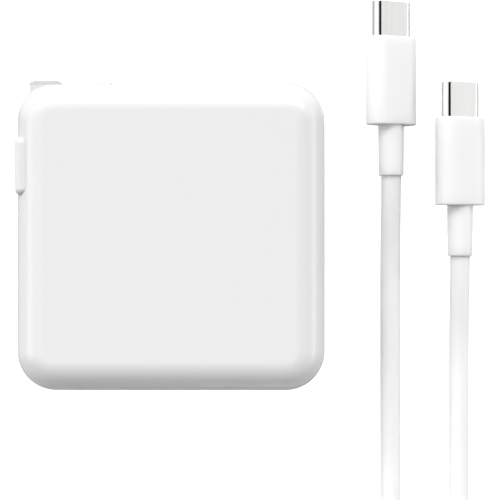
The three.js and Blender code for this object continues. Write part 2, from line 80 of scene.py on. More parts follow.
CORD_R = 1.95 * MM
CORD_D = 2 * CORD_R
CORD_LIES = CORD_R + 0.05 * MM
ROLL = math.radians(28)
PLUG_Z = 4.05 * MM
PLUG_A = Vector((42.02 * MM, 45.87 * MM, PLUG_Z))
PLUG_B = Vector((55.48 * MM, 30.23 * MM, PLUG_Z))
NOSE_LENGTH = 6.9 * MM
MOULD_LENGTH = 17.2 * MM
MOULD_SEEN = 17.08 * MM
RELIEF_LENGTH = 9.45 * MM
JOINT_GAP = 0.3 * MM
TUCK = 1.2 * MM
CORD_START = -(NOSE_LENGTH + MOULD_LENGTH + RELIEF_LENGTH + 2 * JOINT_GAP)
COIL = Vector((29.6 * MM, -91.5 * MM, 0))
COIL_MIDDLE = 22 * MM
COIL_LAYERS = 4
TIE_THICKNESS = 0.6 * MM

# ---- camera, floor and light --------------------------------------------------------------------


def camera():
    data = bpy.data.cameras.new("camera")
    data.sensor_width = 36
    data.lens = 120.3
    data.clip_start = 0.01
    eye = bpy.data.objects.new("camera", data)
    eye.location = (14.5 * MM, -2.5 * MM, 330 * MM)
    bpy.context.scene.collection.objects.link(eye)
    bpy.context.scene.camera = eye


class Nodes:
    """A node tree with short calls for what the materials use."""

    def __init__(self, tree):
        self.tree = tree
        tree.nodes.clear()

    def add(self, kind, inputs=None, **settings):
        node = self.tree.nodes.new(kind)
        for name, value in settings.items():
            setattr(node, name, value)
        for key, value in (inputs or {}).items():
            if isinstance(value, bpy.types.NodeSocket):
                self.tree.links.new(value, node.inputs[key])
            else:
                node.inputs[key].default_value = value
        return node

    def math(self, operation, a, b=0.0):
        return self.add("ShaderNodeMath", {0: a, 1: b}, operation=operation).outputs[0]

    def smooth(self, value, low, high, start=0.0, end=1.0):
        inputs = {"Value": value, "From Min": low, "From Max": high, "To Min": start, "To Max": end}
        return self.add("ShaderNodeMapRange", inputs, interpolation_type="SMOOTHSTEP").outputs[0]

    def window(self, value, low, high, soft):
        """1 between low and high, 0 outside, with soft edges."""
        rise = self.smooth(value, low - soft, low + soft)
        fall = self.smooth(value, high - soft, high + soft, 1.0, 0.0)
        return self.math("MULTIPLY", rise, fall)


# The dome's panels: (lowest and highest angle across, lowest and highest angle along, brightness
# added to the ambient). Angles are in degrees from straight up, towards +X and towards +Y. The dark
# panels take the ambient away.
AMBIENT = 0.25
DARK = 0.01
PANELS = [
    (-92, -76, -36, 50, 0.1),
    (-76, -54, -36, 50, 1.9),
    (-54, -14, -18, 28, 1.1),
    (-14, 8, -18, 28, 0.62),
    (56, 69, -25, 50, 0.62),
    (69, 92, -70, 70, 2.2),
    (-50, 45, 31.5, 62, 4.2),
    (-60, 60, 62, 92, 0.5),
]
DARK_PANELS = [
    (8, 56, -32, 26),
    (-75, 75, -92, -47),
]
PANEL_EDGE = 2.5


def studio_world():
    """A dim dome with bright and dark panels. The brightest is above the far edge."""
    world = bpy.data.worlds.new("studio")
    bpy.context.scene.world = world
    world.use_nodes = True
    nodes = Nodes(world.node_tree)
    direction = nodes.add("ShaderNodeTexCoord").outputs["Generated"]
    parts = nodes.add("ShaderNodeSeparateXYZ", {0: direction}).outputs
    across = nodes.math("ARCTAN2", parts["X"], parts["Z"])
    along = nodes.math("ARCTAN2", parts["Y"], parts["Z"])

    def panel(low_x, high_x, low_y, high_y):
        edges = [math.radians(angle) for angle in (low_x, high_x, low_y, high_y, PANEL_EDGE)]
        return nodes.math("MULTIPLY", nodes.window(across, edges[0], edges[1], edges[4]),
                          nodes.window(along, edges[2], edges[3], edges[4]))

    dark = nodes.math("MAXIMUM", panel(*DARK_PANELS[0]), panel(*DARK_PANELS[1]))
    total = nodes.smooth(dark, 0, 1, AMBIENT, DARK)
    for *span, brightness in PANELS:
        total = nodes.math("ADD", total, nodes.math("MULTIPLY", panel(*span), brightness))
    background = nodes.add("ShaderNodeBackground", {"Color": (1.0, 1.0, 1.0, 1.0), "Strength": total})
    nodes.add("ShaderNodeOutputWorld", {"Surface": background.outputs[0]})


FLOOR_TONES = (0.84, 0.86)
FLOOR_GLOW = 0.85
FLOOR_MIRROR_LOSS = 0.45


def floor():
    """A pale matt plane. It glows to the camera alone, and reflections see it darker."""
    size = 6.0
    mesh = bpy.data.meshes.new("floor")
    corners = [(-size, -size, 0), (size, -size, 0), (size, size, 0), (-size, size, 0)]
    mesh.from_pydata(corners, [], [(0, 1, 2, 3)])
    plane = bpy.data.objects.new("floor", mesh)
    bpy.context.scene.collection.objects.link(plane)
    look = bpy.data.materials.new("floor")
    look.use_nodes = True
    nodes = Nodes(look.node_tree)
    grain = nodes.add("ShaderNodeTexNoise", {"Scale": 40.0, "Detail": 3.0}).outputs["Fac"]
    rays = nodes.add("ShaderNodeLightPath").outputs
    loss = nodes.math("MULTIPLY", rays["Is Glossy Ray"], FLOOR_MIRROR_LOSS)
    mirrored = nodes.math("SUBTRACT", 1.0, loss)
    tone = nodes.math("MULTIPLY", nodes.smooth(grain, 0.3, 0.7, *FLOOR_TONES), mirrored)
    colour = nodes.add("ShaderNodeCombineColor", {0: tone, 1: tone, 2: tone}).outputs[0]
    matt = nodes.add("ShaderNodeBsdfDiffuse", {"Color": colour}).outputs[0]
    strength = nodes.math("MULTIPLY", rays["Is Camera Ray"], FLOOR_GLOW)
    glow = nodes.add("ShaderNodeEmission", {"Strength": strength}).outputs[0]
    both = nodes.add("ShaderNodeAddShader", {0: matt, 1: glow}).outputs[0]
    nodes.add("ShaderNodeOutputMaterial", {"Surface": both})
    mesh.materials.append(look)


# ---- materials ----------------------------------------------------------------------------------


def shade(name, colour, roughness, metallic=0.0, spread=0.02, rough_spread=0.04, grain=900.0,
          bump=0.02, stretch=(1, 1, 1), extra=None):
    """A procedural finish: slow colour drift, fine roughness variation and a fine surface relief."""
    look = bpy.data.materials.new(name)
    look.use_nodes = True
    look.diffuse_color = (*colour, 1.0)
    nodes = Nodes(look.node_tree)
    place = nodes.add("ShaderNodeTexCoord").outputs["Object"]
    scaled = nodes.add("ShaderNodeMapping", {"Vector": place, "Scale": stretch}).outputs[0]
    slow = nodes.add("ShaderNodeTexNoise", {"Vector": place, "Scale": 70.0, "Detail": 2.0}).outputs["Fac"]
    fine = nodes.add("ShaderNodeTexNoise", {"Vector": scaled, "Scale": grain, "Detail": 4.0}).outputs["Fac"]
    low = [max(0.0, channel * (1 - spread)) for channel in colour]
    high = [min(1.0, channel * (1 + spread)) for channel in colour]
    tint = nodes.add("ShaderNodeMix", {"Factor": slow}, data_type="RGBA")
    ends = [socket for socket in tint.inputs if socket.type == "RGBA"]
    ends[0].default_value = (*low, 1.0)
    ends[1].default_value = (*high, 1.0)
    rough = nodes.smooth(fine, 0.3, 0.7, max(0.02, roughness - rough_spread), roughness + rough_spread)
    relief = nodes.add("ShaderNodeBump", {"Height": fine, "Strength": bump, "Distance": 0.0002}).outputs[0]
    base = next(socket for socket in tint.outputs if socket.type == "RGBA")
    inputs = {"Base Color": base, "Roughness": rough, "Metallic": metallic, "Normal": relief}
    inputs.update(extra or {})
    surface = nodes.add("ShaderNodeBsdfPrincipled", inputs)
    nodes.add("ShaderNodeOutputMaterial", {"Surface": surface.outputs[0]})
    return look


# Light that spreads inside the lead's soft plastic.
SOFT_INSIDE = {"Subsurface Weight": 0.8, "Subsurface Radius": (1.0, 1.0, 1.0), "Subsurface Scale": 2 * MM}

LOOKS = {
    "housing_white": shade("housing_white", (0.81, 0.81, 0.82), 0.13, spread=0.006, bump=0.03, grain=1400.0),
    "trim_white": shade("trim_white", (0.76, 0.76, 0.765), 0.3, spread=0.01, bump=0.06, grain=2200.0),
    "lead_white": shade("lead_white", (0.96, 0.96, 0.96), 0.36, spread=0.008, rough_spread=0.05, bump=0.08,
                        grain=2600.0, extra=SOFT_INSIDE),
    "plated_steel": shade("plated_steel", (0.93, 0.925, 0.915), 0.12, metallic=1.0, spread=0.02, bump=0.05,
                          grain=1500.0, stretch=(1, 0.06, 1)),
    "spring_brass": shade("spring_brass", (0.78, 0.62, 0.30), 0.3, metallic=1.0, spread=0.06, bump=0.1),
    "board_green": shade("board_green", (0.05, 0.20, 0.09), 0.4, spread=0.12, bump=0.2, grain=1800.0),
    "ferrite": shade("ferrite", (0.035, 0.035, 0.038), 0.75, spread=0.2, bump=0.3, grain=3000.0),
    "copper_wire": shade("copper_wire", (0.72, 0.33, 0.14), 0.3, metallic=0.9, spread=0.1, bump=0.3,
                         stretch=(1, 1, 6)),
    "capacitor_sleeve": shade("capacitor_sleeve", (0.02, 0.022, 0.03), 0.35, spread=0.15, bump=0.1),
    "film_yellow": shade("film_yellow", (0.75, 0.52, 0.06), 0.35, spread=0.08, bump=0.1, stretch=(1, 5, 1)),
    "ceramic_blue": shade("ceramic_blue", (0.06, 0.18, 0.45), 0.3, spread=0.1, bump=0.15),
    "chip_black": shade("chip_black", (0.015, 0.015, 0.017), 0.55, spread=0.2, bump=0.3, grain=4000.0),
    "heat_metal": shade("heat_metal", (0.68, 0.69, 0.71), 0.38, metallic=1.0, spread=0.05, bump=0.15,
                        stretch=(0.05, 1, 1)),
    "insulating_sheet": shade("insulating_sheet", (0.72, 0.68, 0.55), 0.6, spread=0.06, bump=0.2),
    "insulator_dark": shade("insulator_dark", (0.02, 0.02, 0.022), 0.45, spread=0.15, bump=0.15,
                            grain=2500.0),
}
GOLD = shade("contact_gold", (0.83, 0.62, 0.26), 0.22, metallic=1.0, spread=0.04, bump=0.05)
STRAP = shade("tie_white", (0.78, 0.78, 0.78), 0.5, spread=0.02, bump=0.3, grain=3500.0)


def dress_cad_nodes():
    for row in frame["record"]["subparts"]:
        node = frame["nodes"][row["node"]]
        node.data.materials.clear()
        node.data.materials.append(LOOKS[row["material_slot"]])


# ---- mesh tools ---------------------------------------------------------------------------------


def rounded_ring(width, height, radius, steps):
    """The outline of a rounded rectangle, anticlockwise, as (a, b) pairs."""
    points = []
    middles = [(1, 1, 0), (-1, 1, 90), (-1, -1, 180), (1, -1, 270)]
    for side_a, side_b, start in middles:
        centre_a = side_a * (width / 2 - radius)
        centre_b = side_b * (height / 2 - radius)
        for step in range(steps + 1):
            angle = math.radians(start + 90 * step / steps)
            points.append((centre_a + radius * math.cos(angle), centre_b + radius * math.sin(angle)))
    return points


def loft(rings):
    """A skin through rings of the same number of points, as a bmesh."""
    skin = bmesh.new()
    rows = [[skin.verts.new(point) for point in ring] for ring in rings]
    count = len(rows[0])
    for low, high in zip(rows, rows[1:]):
        for index in range(count):
            following = (index + 1) % count
            skin.faces.new((low[index], low[following], high[following], high[index]))
    skin.faces.new(list(reversed(rows[0])))
    skin.faces.new(rows[-1])
    bmesh.ops.remove_doubles(skin, verts=skin.verts, dist=1e-7)
    bmesh.ops.recalc_face_normals(skin, faces=skin.faces)
    return skin


def quarter_steps(radius, steps):
    """(distance from the face, pull inwards) of a round edge, from the face to the side."""
    for step in range(steps + 1):
        angle = math.pi / 2 * step / steps
        yield radius * (1 - math.cos(angle)), radius * (1 - math.sin(angle))


def soft_levels(low, high, radius, steps):
    """(position, pull inwards) of a bar with two round ends."""
    near = [(low + depth, pull) for depth, pull in quarter_steps(radius, steps)]
    far = [(high - depth, pull) for depth, pull in quarter_steps(radius, steps)]
    return near + list(reversed(far))


def soft_bar(width, height, radius, low, high, end_round, point, steps=10, end_steps=6):
    """A rounded-rectangle bar with round ends. point(a, b, c) puts section a, b at height c."""
    rings = []
    for level, pull in soft_levels(low, high, end_round, end_steps):
        ring = rounded_ring(width - 2 * pull, height - 2 * pull, max(radius - pull, 0.02 * MM), steps)
        rings.append([point(a, b, level) for a, b in ring])
    return loft(rings)


def turned(profile, point, steps=48):
    """A lathe form from (radius, height) pairs. point(a, b, c) puts it in place."""
    rings = []
    for radius, height in profile:
        around = [2 * math.pi * step / steps for step in range(steps)]
        rings.append([point(radius * math.cos(turn), radius * math.sin(turn), height) for turn in around])
    return loft(rings)


def rod_profile(radius, low, high, end_round, steps=4):
    levels = soft_levels(low, high, end_round, steps)
    return [(max(radius - pull, SHARP), level) for level, pull in levels]


def along_x(a, b, c):
    return Vector((c, a, b))


def along_y(a, b, c):
    return Vector((-a, c, b))


def along_z(a, b, c):
    return Vector((a, b, c))


def at(place, move):
    offset = Vector(move)
    return lambda a, b, c: place(a, b, c) + offset


def block(x, y, z):
    """A plain box as a cutter, from three (low, high) pairs."""
    rings = [[Vector((x[0], y[0], level)), Vector((x[1], y[0], level)), Vector((x[1], y[1], level)),
              Vector((x[0], y[1], level))] for level in z]
    return loft(rings)


def to_object(name, skin):
    mesh = bpy.data.meshes.new(name)
    skin.to_mesh(mesh)
    skin.free()
    piece = bpy.data.objects.new(name, mesh)
    bpy.context.scene.collection.objects.link(piece)
    return piece


def bake_modifiers(piece):
    """The piece's mesh as its modifiers leave it."""
    graph = bpy.context.evaluated_depsgraph_get()
    old = piece.data
    made = bpy.data.meshes.new_from_object(piece.evaluated_get(graph))
    piece.modifiers.clear()
    piece.data = made
    bpy.data.meshes.remove(old)


def combine(piece, tools, operation="DIFFERENCE"):
    """Cuts the tools from the piece, or joins them to it, one after the other."""
    for tool in tools:
        other = to_object("tool", tool)
        step = piece.modifiers.new("combine", "BOOLEAN")
        step.operation = operation
        step.solver = "EXACT"
        step.object = other
        bake_modifiers(piece)
        bpy.data.objects.remove(other)
    return piece


def soften_edges(piece, width, segments=2, angle=35):
    step = piece.modifiers.new("edges", "BEVEL")
    step.width = width
    step.segments = segments
    step.limit_method = "ANGLE"
    step.angle_limit = math.radians(angle)
    step.miter_outer = "MITER_ARC"
    step.use_clamp_overlap = True
    bake_modifiers(piece)


def finish_piece(piece, look, body, replaces=(), sharp=40):
    """Smooth shading, material, body and the CAD nodes that the piece stands for."""
    mesh = piece.data
    mesh.materials.clear()
    mesh.materials.append(look)
    mesh.shade_smooth()
    mesh.set_sharp_from_angle(angle=math.radians(sharp))
    step = piece.modifiers.new("normals", "WEIGHTED_NORMAL")
    step.keep_sharp = True
    step.weight = 80
    if replaces:
        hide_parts(*replaces)
    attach(piece, body)


# ---- housing ------------------------------------------------------------------------------------


def envelope(inset=0.0, grow=0.0, steps=20, edge_steps=14):
    side = 2 * (HALF - inset + grow)
    return soft_bar(side, side, CORNER - inset + grow, inset - grow, HEIGHT - inset + grow,
                    EDGE - inset + grow, along_z, steps, edge_steps)


def port_cutter(width, height):
    radius = 0.98 * height / 2
    return soft_bar(width, height, radius, HALF - 4 * MM, HALF + 2 * MM, SHARP,
                    at(along_x, (0, 0, MID_Z)), 12, 1)


def housing_shells():
    far = 2 * HALF
    corner = block((-far, RECESS_RIGHT + WALL), (RECESS_FLOOR - WALL, far), (-MM, HEIGHT + MM))
    hollow = combine(to_object("hollow", envelope(WALL, steps=10, edge_steps=6)), [corner])
    inside = bmesh.new()
    inside.from_mesh(hollow.data)
    bpy.data.objects.remove(hollow)
    recess = block((-far, RECESS_RIGHT), (RECESS_FLOOR, far), (RECESS_LOW, RECESS_HIGH))
    inlet_hole = block(INLET_HOLE_X, (MM, RECESS_FLOOR + MM), INLET_HOLE_Z)
    stud_profile = rod_profile(STUD_HOLE, -12 * MM, -8 * MM, SHARP, 1)
    stud_hole = turned(stud_profile, at(along_x, (0, STUD_Y, MID_Z)), 24)
    whole = to_object("whole_shell", envelope())
    combine(whole, [inside, recess, port_cutter(*PORT_HOLE), inlet_hole, stud_hole])
    halves = {
        "front_cover": ("front_shell", (MID_Z + SEAM / 2, far)),
        "rear_cover": ("rear_shell", (-far, MID_Z - SEAM / 2)),
    }
    for name, (node, span) in halves.items():
        half = to_object(name, bmesh_of(whole))
        combine(half, [block((-far, far), (-far, far), span)], "INTERSECT")
        soften_edges(half, 0.1 * MM)
        finish_piece(half, LOOKS["housing_white"], "adapter", [node])
    bpy.data.objects.remove(whole)


def bmesh_of(piece):
    copy = bmesh.new()
    copy.from_mesh(piece.data)
    return copy


# ---- charge port --------------------------------------------------------------------------------

PORT_HOLE = (10.5 * MM, 4.7 * MM)
RIM_MOUTH = (9.2 * MM, 3.5 * MM)
CONTACTS = 12
PORT_PITCH = 0.45 * MM

# Sections as (width, height, corner radius).
PORT_RIM = (10.3 * MM, 4.5 * MM, 2.2 * MM)
PORT_TUBE = (8.9 * MM, 3.2 * MM, 1.55 * MM)
PORT_BORE = (8.3 * MM, 2.6 * MM, 1.25 * MM)
PORT_TONGUE = (6.2 * MM, 0.7 * MM, 0.2 * MM)
PORT_BASE = (7.9 * MM, 2.2 * MM, 1.05 * MM)
PORT_STRIP = (0.24 * MM, 0.06 * MM, 0.02 * MM)


def contact_row(section, pitch, low, high, end_round, place):
    """Two facing rows of contact strips in one bmesh. place(across, side) puts each strip."""
    rows = bmesh.new()
    for side in (-1, 1):
        for index in range(CONTACTS):
            across = (index - (CONTACTS - 1) / 2) * pitch
            append(rows, soft_bar(*section, low, high, end_round, place(across, side), 2, 1))
    return rows


def port():
    centre = at(along_x, (0, 0, MID_Z))
    rim_bar = soft_bar(*PORT_RIM, HALF - 2 * MM, HALF - 0.06 * MM, 0.12 * MM, centre, 16, 3)
    rim = combine(to_object("port_rim", rim_bar), [port_cutter(*RIM_MOUTH)])
    soften_edges(rim, 0.1 * MM)
    finish_piece(rim, LOOKS["trim_white"], "adapter", ["port_bezel"])

    low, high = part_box("receptacle_shell")
    back = low.x
    tube = soft_bar(*PORT_TUBE, back, high.x, 0.08 * MM, centre, 16, 3)
    bore = soft_bar(*PORT_BORE, back - MM, high.x + MM, SHARP, centre, 16, 1)
    shell = combine(to_object("port_shell", tube), [bore])
    soften_edges(shell, 0.06 * MM)
    finish_piece(shell, LOOKS["plated_steel"], "adapter", ["receptacle_shell"])

    blade = soft_bar(*PORT_TONGUE, back + 0.3 * MM, HALF - 0.95 * MM, 0.15 * MM, centre, 4, 3)
    base = soft_bar(*PORT_BASE, back + 0.2 * MM, back + 1.6 * MM, 0.05 * MM, centre, 12, 1)
    tongue = combine(to_object("port_tongue", blade), [base], "UNION")
    finish_piece(tongue, LOOKS["insulator_dark"], "adapter", ["receptacle_tongue"])

    strips = contact_row(PORT_STRIP, PORT_PITCH, HALF - 5 * MM, HALF - 1.5 * MM, 0.02 * MM,
                         lambda across, side: at(along_x, (0, across, MID_Z + side * 0.36 * MM)))
    finish_piece(to_object("port_contacts", strips), GOLD, "adapter")


def append(whole, extra):
    """Adds the extra bmesh to the whole, as a separate solid."""
    scratch = bpy.data.meshes.new("scratch")
    extra.to_mesh(scratch)
    extra.free()
    whole.from_mesh(scratch)
    bpy.data.meshes.remove(scratch)


# ---- inlet --------------------------------------------------------------------------------------


def inlet():
    for side in ("line", "neutral"):
        low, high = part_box(f"inlet_pin_{side}")
        middle = (low + high) / 2
        radius = (high.x - low.x) / 2
        profile = rod_profile(radius, low.y, high.y, 0.9 * radius, 8)
        pin = turned(profile, at(along_y, (middle.x, 0, middle.z)))
        finish_piece(to_object(f"inlet_blade_{side}", pin), LOOKS["plated_steel"], "adapter",
                     [f"inlet_pin_{side}"])
    low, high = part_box("lock_stud")
    # The stud's radii are in mm.
    profile = [(0.01, low.x), (2.0, low.x), (2.2, low.x + 0.2 * MM), (2.2, -13 * MM), (2.0, -12.8 * MM),
               (1.5, -12.75 * MM), (1.5, -8.75 * MM), (2.5, -8.7 * MM), (2.5, high.x), (0.01, high.x)]
    scaled = [(radius * MM, level) for radius, level in profile]
    stud = turned(scaled, at(along_x, (0, (low.y + high.y) / 2, MID_Z)))
    finish_piece(to_object("lock_button", stud), LOOKS["plated_steel"], "adapter",
                 ["lock_stud"])


# ---- AC plug ------------------------------------------------------------------------------------

BLADE_SPREAD = 6.35 * MM
SLOT_HALF = 1.02 * MM
SLOT_RIGHT = -19.7 * MM
SLOT_FLOOR = 6.55 * MM
NOTCH_RIGHT = -19.9 * MM
NOTCH_BOTTOM = 27.75 * MM
PAD_LOW = 7.5 * MM
PAD_HIGH = 18.1 * MM
PAD_WIDTH = 25.4 * MM
PAD_CORNER = 1.2 * MM
PAD_DEPTH = 4 * MM
PAD_ROUND = 0.95 * MM
PAD_LIFT = 0.04 * MM
CARRIER = 3.25 * MM
CAVITY_WALL = -17.8 * MM
LEAF_WINDOWS = ((6.7 * MM, 10.3 * MM), (17.7 * MM, 21.3 * MM))


def outlet_pad():
    """The plate that meets the outlet, laid over the housing's round side edges."""
    middle = (PAD_LOW + PAD_HIGH) / 2
    height = PAD_HIGH - PAD_LOW

    def put(a, b, c):
        return Vector((OUTLET_FACE + c, middle + b, MID_Z + a))

    skin = soft_bar(PAD_WIDTH, height, PAD_CORNER, 0, PAD_DEPTH, PAD_ROUND, put, 8, 10)
    plate = to_object("plate", skin)
    inner = to_object("inner", envelope(0, PAD_LIFT))
    keep = block((-2 * HALF, 2 * HALF), (-2 * HALF, 2 * HALF), (RECESS_LOW + CLEAR, RECESS_HIGH - CLEAR))
    combine(inner, [keep])
    combine(plate, [bmesh_of(inner)])
    bpy.data.objects.remove(inner)
    return plate


def carrier_room():
    room = CARRIER + 0.15 * MM
    low = MID_Z - BLADE_SPREAD + 0.9 * MM
    high = MID_Z + BLADE_SPREAD - 0.9 * MM
    round_part = turned(rod_profile(room, low, high, SHARP, 1), at(along_z, PIVOT_FOOT), 96)
    square_part = block((-2 * HALF, PIVOT.x), (PIVOT.y - room, PIVOT.y + room), (low, high))
    return [round_part, square_part]


def plug_body():
    far = 2 * HALF
    whole = to_object("plug_body", envelope())
    region = block((-far, RECESS_RIGHT - CLEAR), (RECESS_FLOOR + CLEAR, far),
                   (RECESS_LOW + CLEAR, RECESS_HIGH - CLEAR))
    combine(whole, [region], "INTERSECT")
    pad = outlet_pad()
    combine(whole, [bmesh_of(pad)], "UNION")
    bpy.data.objects.remove(pad)
    slots = []
    for sign in (1, -1):
        z = MID_Z + sign * BLADE_SPREAD
        slots.append(block((-far, SLOT_RIGHT), (SLOT_FLOOR, far), (z - SLOT_HALF, z + SLOT_HALF)))
        slots.append(block((-far, NOTCH_RIGHT), (NOTCH_BOTTOM, far), sorted((z, MID_Z + sign * far))))
    inside = block((-18.3 * MM, -12.5 * MM), (0, 24 * MM), (6 * MM, 22 * MM))
    keyway = block((-13 * MM, -10 * MM), (0, 21.8 * MM), (MID_Z - 1.8 * MM, MID_Z + 1.8 * MM))
    windows = [block((-20.2 * MM, CAVITY_WALL), (8.2 * MM, 13.3 * MM), span) for span in LEAF_WINDOWS]
    spring_room = block((-21.6 * MM, CAVITY_WALL), (6.2 * MM, 13.2 * MM), (11.4 * MM, 16.6 * MM))
    combine(whole, [*slots, *carrier_room(), inside, keyway, *windows, spring_room])
    soften_edges(whole, 0.12 * MM)
    finish_piece(whole, LOOKS["housing_white"], "ac_plug", ["plug_housing"])


# ---- prongs -------------------------------------------------------------------------------------

BLADE_LEFT = -26.5 * MM
BLADE_RIGHT = -20.15 * MM
BLADE_TIP = 28.85 * MM
BLADE_THICKNESS = 1.5 * MM
BLADE_CORNER = 1.1 * MM
BEVEL_LENGTH = 0.85 * MM
BEVEL_DEPTH = 0.55 * MM
HOLE_FROM_TIP = 4.15 * MM
BLADE_HOLE = 1.55 * MM
PIN_RADIUS = 1.0 * MM
PIN_EYE = 1.05 * MM


def arc(centre, radius, start, end, steps):
    for step in range(steps + 1):
        angle = math.radians(start + (end - start) * step / steps)
        yield centre[0] + radius * math.cos(angle), centre[1] + radius * math.sin(angle)


def blade_outline(pull):
    """The blade's outline seen from the front, moved inwards by pull."""
    root = 2.9 * MM - pull
    left = BLADE_LEFT + pull
    right = BLADE_RIGHT - pull
    tip = BLADE_TIP - pull
    radius = BLADE_CORNER - pull
    points = list(arc((BLADE_RIGHT - BLADE_CORNER, tip - radius), radius, 0, 90, 10))
    points += list(arc((BLADE_LEFT + BLADE_CORNER, tip - radius), radius, 90, 180, 10))
    reach = math.degrees(math.acos((PIVOT.x - left) / root))
    points += list(arc((PIVOT.x, PIVOT.y), root, 180 - reach, 320, 30))
    points += list(arc((BLADE_RIGHT - BLADE_CORNER, PIVOT.y), radius, -60, 0, 8))
    return [point for point in points if point[0] <= right + 1e-9]


def tip_wedge(face, sign):
    """The wedge that bevels a blade's tip on one face."""
    past = MM
    fall = BEVEL_DEPTH * (1 + past / BEVEL_LENGTH)
    start = BLADE_TIP - BEVEL_LENGTH
    corners = [(start, face), (BLADE_TIP + past, face - sign * fall), (BLADE_TIP + past, face + sign * past),
               (start, face + sign * past)]
    return loft([[Vector((x, y, z)) for y, z in corners] for x in (BLADE_LEFT - past, BLADE_RIGHT + past)])


def pin_eye(low, high):
    """The cutter for the hole that the pivot pin runs in."""
    return turned(rod_profile(PIN_EYE, low - MM, high + MM, SHARP, 1), at(along_z, PIVOT_FOOT), 48)


def prongs():
    for side, sign in (("front", 1), ("rear", -1)):
        middle = MID_Z + sign * BLADE_SPREAD
        low = middle - BLADE_THICKNESS / 2
        high = middle + BLADE_THICKNESS / 2
        rings = [[Vector((x, y, level)) for x, y in blade_outline(pull)]
                 for level, pull in soft_levels(low, high, 0.32 * MM, 5)]
        blade = to_object(f"blade_{side}", loft(rings))
        centre = ((BLADE_LEFT + BLADE_RIGHT) / 2, BLADE_TIP - HOLE_FROM_TIP, 0)
        hole = turned(rod_profile(BLADE_HOLE, low - MM, high + MM, SHARP, 1), at(along_z, centre), 64)
        combine(blade, [hole, pin_eye(low, high), tip_wedge(high, 1), tip_wedge(low, -1)])
        soften_edges(blade, 0.08 * MM, 2, 50)
        finish_piece(blade, LOOKS["plated_steel"], "prongs", [f"prong_{side}"], sharp=25)

    low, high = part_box("prong_carrier")
    outline = list(arc((PIVOT.x, PIVOT.y), CARRIER, 90, -180, 72))
    outline.append((PIVOT.x - CARRIER, PIVOT.y + CARRIER))
    rings = [[Vector((x, y, level)) for x, y in reversed(outline)] for level in (low.z, high.z)]
    hub = to_object("prong_hub", loft(rings))
    combine(hub, [pin_eye(low.z, high.z)])
    soften_edges(hub, 0.15 * MM, 3, 50)
    finish_piece(hub, LOOKS["trim_white"], "prongs", ["prong_carrier"])

    low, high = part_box("pivot_pin")
    pin = turned(rod_profile(PIN_RADIUS, low.z, high.z, 0.15 * MM), at(along_z, PIVOT_FOOT))
    finish_piece(to_object("hinge_pin", pin), LOOKS["plated_steel"], "ac_plug", ["pivot_pin"])


# ---- charge lead --------------------------------------------------------------------------------

NOSE_PITCH = 0.5 * MM

# Sections as (width, height, corner radius).
NOSE_TUBE = (8.25 * MM, 2.4 * MM, 1.18 * MM)
NOSE_BORE = (7.65 * MM, 1.8 * MM, 0.88 * MM)
NOSE_INSERT = (7.3 * MM, 1.45 * MM, 0.7 * MM)
INSERT_SLOT = (6.7 * MM, 0.8 * MM, 0.1 * MM)
NOSE_STRIP = (0.22 * MM, 0.1 * MM, 0.03 * MM)
MOULD = (10.4 * MM, 5.8 * MM, 2.8 * MM)
RELIEF_END_R = 2.43 * MM

# The cord's way from each connector, as Y in mm where it lies flat and (Y, height) in mm elsewhere.
A_FALLS = ((6, 3.5), (0, 2.6), (-7, 2))
A_LIES = (-16, -28, -40)
B_LEAVES_COIL = ((-86, 13.3), (-80, 11.5), (-75.6, 9.4), (-70, 7.2), (-62, 4.2), (-54, 2.3))
B_LIES = (-44, -32)
B_RISES = ((-23, 2), (-16, 2.6), (-10, 3.5))

# Degrees of the coil's turn: between two points of its line, where it shifts to the next ring and
# over how long, and how far from the tie it is lifted by the strap.
COIL_STEP = 9
SHIFT_START = 20
SHIFT_WIDTH = 50
TIE_REACH = 16
SHIFT_BULGE = 1.4 * MM


def rolled(tip):
    """Places a connector's section a, b at distance c along +Y from its tip, rolled about its axis."""
    turn = Matrix.Rotation(ROLL, 3, "Y")
    return lambda a, b, c: Vector(tip) + turn @ Vector((-a, c, b))


def lead_piece(piece, look, node, sharp=40):
    finish_piece(piece, look, "charge_lead", [node] if node else (), sharp)


